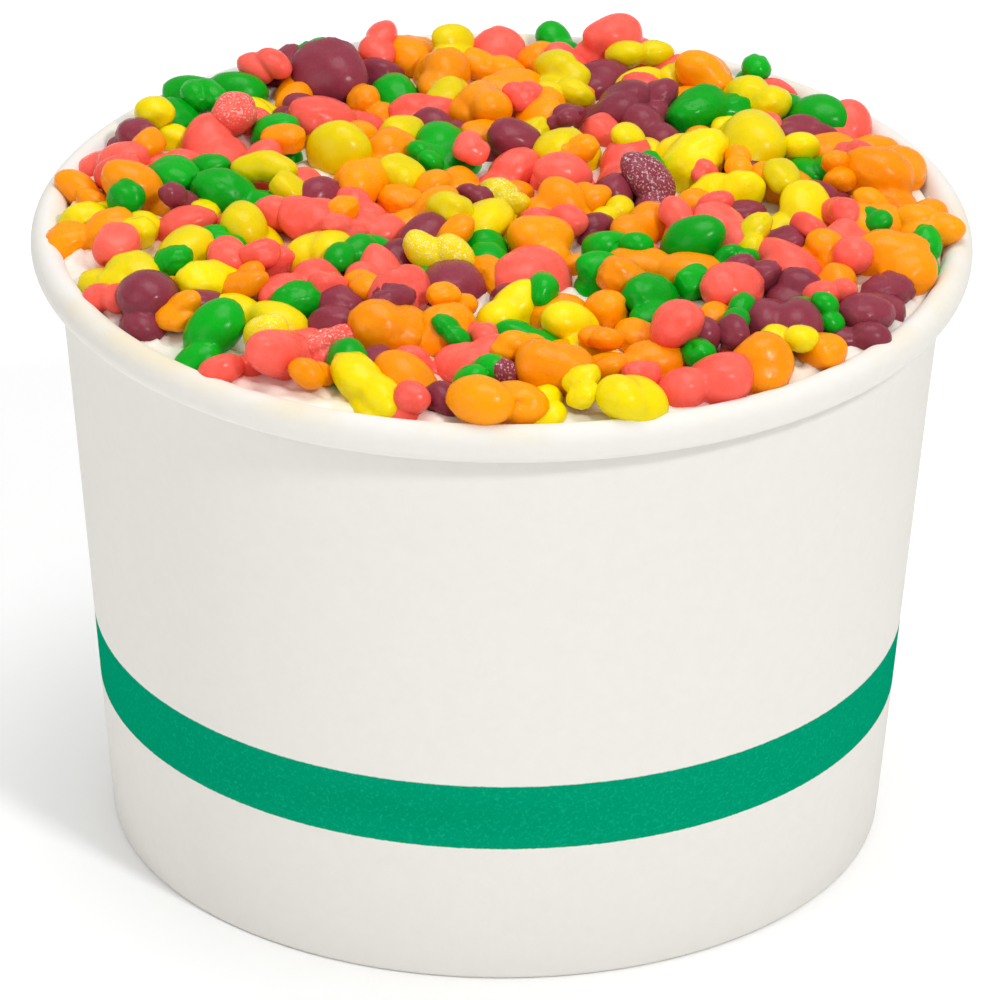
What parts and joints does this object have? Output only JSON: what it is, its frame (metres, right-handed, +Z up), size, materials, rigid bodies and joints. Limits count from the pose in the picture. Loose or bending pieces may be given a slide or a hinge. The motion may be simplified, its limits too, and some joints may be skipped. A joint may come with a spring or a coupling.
{
  "type": "cake cup",
  "caption": "White paper food cup with a rolled rim and a green printed band, filled to the rim with frosted cake and covered with small lumpy sugar candies.",
  "frame": {"origin": "centre of the flat ring that the cup stands on", "axes": "+Z up along the cup's axis, -Y towards the side that the picture shows, the cup's seam at +Y"},
  "size_m": [0.09, 0.09, 0.0669],
  "materials": {
    "paper": "matte",
    "frosting": "satin",
    "candy_coral": "satin",
    "candy_orange": "satin",
    "candy_yellow": "satin",
    "candy_green": "satin",
    "candy_purple": "satin"
  },
  "bodies": {
    "root": {"cup_wall": "paper", "cup_base": "paper", "frosted_cake": "frosting"}
  },
  "joints": []
}
